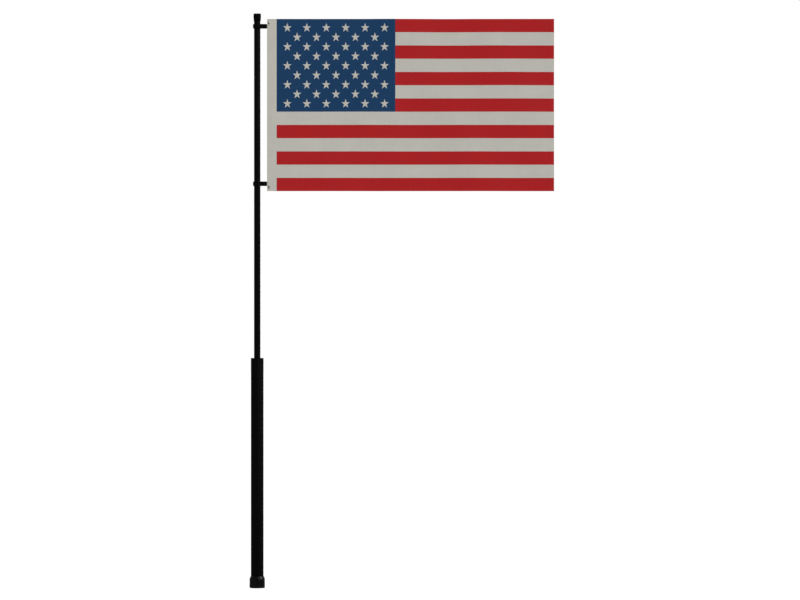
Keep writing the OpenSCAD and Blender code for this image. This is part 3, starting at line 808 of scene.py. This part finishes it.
# Union: its right and lower edges lie over the stripes
UNION_BOTTOM = FLAG_TOP - UNION_STRIPES * STRIPE
UNION_TUCK_X = FIELD_X - TUCK
UNION_BEND_X = [UNION_X - LAP - BEND, UNION_X - LAP + BEND]
UNION_BEND_Z = [UNION_BOTTOM + LAP - BEND, UNION_BOTTOM + LAP + BEND]


def union_middle(x, z):
    return ripple(x, z) - np.maximum(np.interp(x, UNION_BEND_X, [0, UNION_STEP]),
                                     np.interp(z, UNION_BEND_Z, [STEP, 0]))


def union_front(x, z):
    return union_middle(x, z) - CLOTH_H - hem_height(x, z)


def union_back(x, z):
    return union_middle(x, z) + CLOTH_H + hem_height(x, z)


UNION_FACES = (("front", union_front, -1), ("back", union_back, 1))
union_xs = ticks(UNION_TUCK_X, UNION_X, CELL, FIELD_X, *UNION_BEND_X)
union_zs = ticks(UNION_BOTTOM, FLAG_TOP, CELL, *UNION_BEND_Z, *TOP_FOLD)
union = piece("union_cloth", *slab(union_xs, union_zs, union_front, union_back), cloth_blue, "flag",
              "cloth_blue", ["flag_union"])
for d in LAP_ROWS:
    x, z = UNION_X - d, UNION_BOTTOM + d
    seams.sew("blue_front", (FIELD_X + ROW_END, z), (UNION_X - ROW_END, z), union_front, -1)
    seams.sew("blue_front", (x, UNION_BOTTOM + LAP), (x, FLAG_TOP - ROW_END), union_front, -1)
for face, depth, outward in UNION_FACES:
    z = FLAG_TOP - EDGE_HEM + HEM_ROW
    seams.sew(f"blue_{face}", (FIELD_X + ROW_END, z), (UNION_X - LAP - 3 * MM, z), depth, outward)

# Header: a canvas band, round where it folds over the hoist, drawn in a little along its rows of stitches
HEADER_H = 0.8 * MM  # half its thickness
FOLD_R, DRAWN_W, DRAWN_H, PUFF_H = 0.9 * MM, 0.9 * MM, 0.13 * MM, 0.02 * MM
HEADER_ROWS = (GAP + 3 * MM, FIELD_X - 9 * MM, FIELD_X - 3 * MM)
EYELETS = ((EYELET_X, UPPER_Z + EYELET_RISE), (EYELET_X, LOWER_Z - EYELET_RISE))
EYELET_HOLE = 4.9 * MM  # radius of the cells left out, under the eyelet's rim


def header_back(x, z):
    fold = np.sqrt(np.clip(1 - (1 - np.clip((x - GAP) / FOLD_R, 0, 1)) ** 2, 0.08, 1))
    drawn = sum(np.exp(-((x - row) / DRAWN_W) ** 2) for row in HEADER_ROWS)
    puff = PUFF_H * np.sin(2 * math.pi * z / PITCH) * drawn
    return HEADER_H * fold - DRAWN_H * drawn + puff


def header_front(x, z):
    return -header_back(x, z)


def header_keep(x, z):
    return np.all([np.hypot(x - ex, z - ez) > EYELET_HOLE for ex, ez in EYELETS], axis=0)


fine = [np.arange(ez - 7 * MM, ez + 7 * MM, 1 * MM) for _, ez in EYELETS]
header_xs = ticks(GAP, FIELD_X, 1 * MM, GAP + 0.2 * MM, GAP + 0.4 * MM, GAP + 0.6 * MM)
header_zs = ticks(FLAG_BOTTOM, FLAG_TOP, 8 * MM, *fine[0], *fine[1])
header = piece("header_canvas", *slab(header_xs, header_zs, header_front, header_back, header_keep),
               canvas, "flag", "canvas_white", ["flag_header"])
for face, depth, outward in (("front", header_front, -1), ("back", header_back, 1)):
    for x in HEADER_ROWS:
        ends = (x, FLAG_BOTTOM + 1.5 * MM), (x, FLAG_TOP - 1.5 * MM)
        seams.sew(f"canvas_{face}", *ends, depth, outward)
    for z in (FLAG_BOTTOM + 2.5 * MM, FLAG_TOP - 2.5 * MM):
        seams.sew(f"canvas_{face}", (GAP + 4 * MM, z), (FIELD_X - ROW_END, z), depth, outward)

# Stars: a flat filling, and a raised border of satin stitch whose threads cross the star's edge
STAR_HALF_W, STAR_HALF_H = 23.46 * MM, 25.5 * MM  # of the oval that the points lie on
STAR_COLUMNS, STAR_ROWS = 11, 9
STAR_INSET, STAR_DROP, STAR_RISE = 57 * MM, 47 * MM, 42 * MM  # from the union's sides, top and foot
STAR_INNER = math.cos(math.radians(72)) / math.cos(math.radians(36))
# Each loop's scale, height over the cloth and how far its stitches stand up and down, both in mm
FILLING_LOOPS = ((0.95, -0.05, 0), (0.95, 0.16, 0), (0.85, 0.20, 0), (0.55, 0.22, 0), (0.28, 0.22, 0))
BORDER_LOOPS = ((1.0, -0.05, 0), (1.0, 0.12, 0.02), (0.975, 0.36, 0.06), (0.92, 0.46, 0.08),
                (0.86, 0.36, 0.06), (0.82, 0.12, 0.02), (0.82, -0.05, 0))
FILLING_CUTS, BORDER_CUTS = 4, 16  # points along each straight edge


def star_loop(cuts):
    """A star's outline about its middle, as (x, z) points."""
    corners = []
    for k in range(10):
        a, reach = math.radians(36 * k), 1 if k % 2 == 0 else STAR_INNER
        corners.append(reach * np.array((STAR_HALF_W * math.sin(a), STAR_HALF_H * math.cos(a))))
    return np.array([corners[k] + (corners[(k + 1) % 10] - corners[k]) * c / cuts
                     for k in range(10) for c in range(cuts)])


def star(x0, z0, depth, outward, loops, cuts, ring):
    """One star's filling, or with ring its hollow border, on a surface of that depth."""
    loop = star_loop(cuts)
    n = len(loop)
    stand = 1 - 2 * (np.arange(n) % 2)
    verts = []
    for scale, height, ridge in loops:
        x, z = x0 + loop[:, 0] * scale, z0 + loop[:, 1] * scale
        verts.append(np.stack([x, depth(x, z) + outward * (height + ridge * stand) * MM, z], -1))
    pairs = [(low, low + 1) for low in range(len(loops) - 1)] + ([(len(loops) - 1, 0)] if ring else [])
    faces = [(low * n + k, high * n + k, high * n + (k + 1) % n, low * n + (k + 1) % n)
             for low, high in pairs for k in range(n)]
    if not ring:
        faces.append([(len(loops) - 1) * n + k for k in range(n)][::-1])
        faces.append(list(range(n)))
    if outward > 0:
        faces = [list(f)[::-1] for f in faces]
    return np.concatenate(verts), faces


def star_field(depth, outward, *shape):
    """Fifty stars, on every second place of the grid."""
    columns = np.linspace(FIELD_X + STAR_INSET, UNION_X - STAR_INSET, STAR_COLUMNS)
    rows = np.linspace(FLAG_TOP - STAR_DROP, UNION_BOTTOM + STAR_RISE, STAR_ROWS)
    return joined(*(star(x, z, depth, outward, *shape) for j, z in enumerate(rows)
                    for i, x in enumerate(columns) if (i + j) % 2 == 0))


for face, depth, outward in UNION_FACES:
    for label, shape, finish in (
        ("stars", (FILLING_LOOPS, FILLING_CUTS, False), star_filling),
        ("star_borders", (BORDER_LOOPS, BORDER_CUTS, True), star_border),
    ):
        piece(f"{label}_{face}", *star_field(depth, outward, *shape), finish, "flag",
                           "cloth_white", ["flag_stars"], crease=60.0)

# Eyelets: a rolled rim with its barrel in front, a washer behind
EYELET_FRONT = [
    (3.5, -0.75, 0.1), (4.3, -0.75, 0.1), (4.3, 0.8, 0), (6.5, 0.8, 0.15), (6.45, 1.25, 0.3),
    (5.4, 1.5, 0.8), (4.2, 1.5, 0.8), (3.5, 0.9, 0.5),
]
EYELET_BACK = [
    (4.32, 0.8, 0.05), (6.5, 0.8, 0.15), (6.45, 1.15, 0.25), (5.6, 1.45, 0.5), (4.6, 1.35, 0.3),
    (4.32, 1.0, 0.1),
]
for side, (ex, ez) in zip(("upper", "lower"), EYELETS):
    for label, outline, turn, node in (("rim", EYELET_FRONT, TO_FRONT, "eyelet"),
                                       ("washer", EYELET_BACK, TO_BACK, "eyelet_washer")):
        ring = moved(lathe(in_mm(rounded(outline, 3)), 48), turn, (ex, 0, ez))
        piece(f"{side}_grommet_{label}", *ring, nickel, "flag", "nickel",
                              [f"{side}_{node}"])

stitching = seams.build({"red": (thread_red, "cloth_red"), "white": (thread_white, "cloth_white"),
                         "blue": (thread_blue, "cloth_blue"), "canvas": (thread_white, "canvas_white")})

# ---------------------------------------------------------------- finishes of the CAD nodes

for name, obj in frame["nodes"].items():
    obj.data.materials.clear()
    obj.data.materials.append(SLOT_FINISH[SLOT_OF[name]])

# ---------------------------------------------------------------- floor and light

FLOOR_HALF, FLOOR_Z = 60.0, -0.3 * MM
floor_mesh = bpy.data.meshes.new("floor")
floor_mesh.from_pydata([(x * FLOOR_HALF, y * FLOOR_HALF, FLOOR_Z)
                        for x, y in ((-1, -1), (1, -1), (1, 1), (-1, 1))], [], [(0, 1, 2, 3)])
floor = bpy.data.objects.new("floor", floor_mesh)
bpy.context.scene.collection.objects.link(floor)
floor_paint = Finish("floor_paint", Emission_Color=(1, 1, 1, 1), Emission_Strength=0.86,
                     Specular_IOR_Level=0.0, Roughness=0.9)
floor_paint.color(floor_paint.mix(floor_paint.noise(3.0), (0.30, 0.30, 0.30, 1), (0.32, 0.32, 0.32, 1)))
floor_mesh.materials.append(floor_paint.material)
floor.visible_glossy = False
floor.visible_diffuse = False

scene = bpy.context.scene
scene.view_settings.view_transform = "Standard"
scene.view_settings.look = "None"
scene.view_settings.exposure = 0
scene.view_settings.gamma = 1

world = bpy.data.worlds.new("studio")
scene.world = world
world.use_nodes = True
world_tree = world.node_tree
backdrop = world_tree.nodes["Background"]
ray = world_tree.nodes.new("ShaderNodeLightPath")
dim = world_tree.nodes.new("ShaderNodeMapRange")
AMBIENT = 0.5  # light from all round, under a backdrop that the camera sees as pure white
dim.inputs["To Min"].default_value = AMBIENT
dim.inputs["To Max"].default_value = 1.0
world_tree.links.new(ray.outputs["Is Camera Ray"], dim.inputs["Value"])
world_tree.links.new(dim.outputs[0], backdrop.inputs["Strength"])
backdrop.inputs["Color"].default_value = (1, 1, 1, 1)


def sun(name, direction, strength, spread):
    """A soft distant light that shines from a direction."""
    data = bpy.data.lights.new(name, "SUN")
    data.energy = strength
    data.angle = math.radians(spread)
    obj = bpy.data.objects.new(name, data)
    obj.rotation_euler = Vector(direction).to_track_quat("Z", "Y").to_euler()
    bpy.context.scene.collection.objects.link(obj)
    return obj


sun("key", (0.6, -1.0, 0.6), 1.0, 30)
sun("fill", (-0.9, -1.0, 0.25), 0.35, 50)
sun("back", (-0.3, 1.0, 0.6), 1.2, 40)
# A highlight along the right of the round parts, which leaves the flat cloth as it is
sun("rim", (0.76, -0.12, 0.70), 6.0, 38).visible_diffuse = False
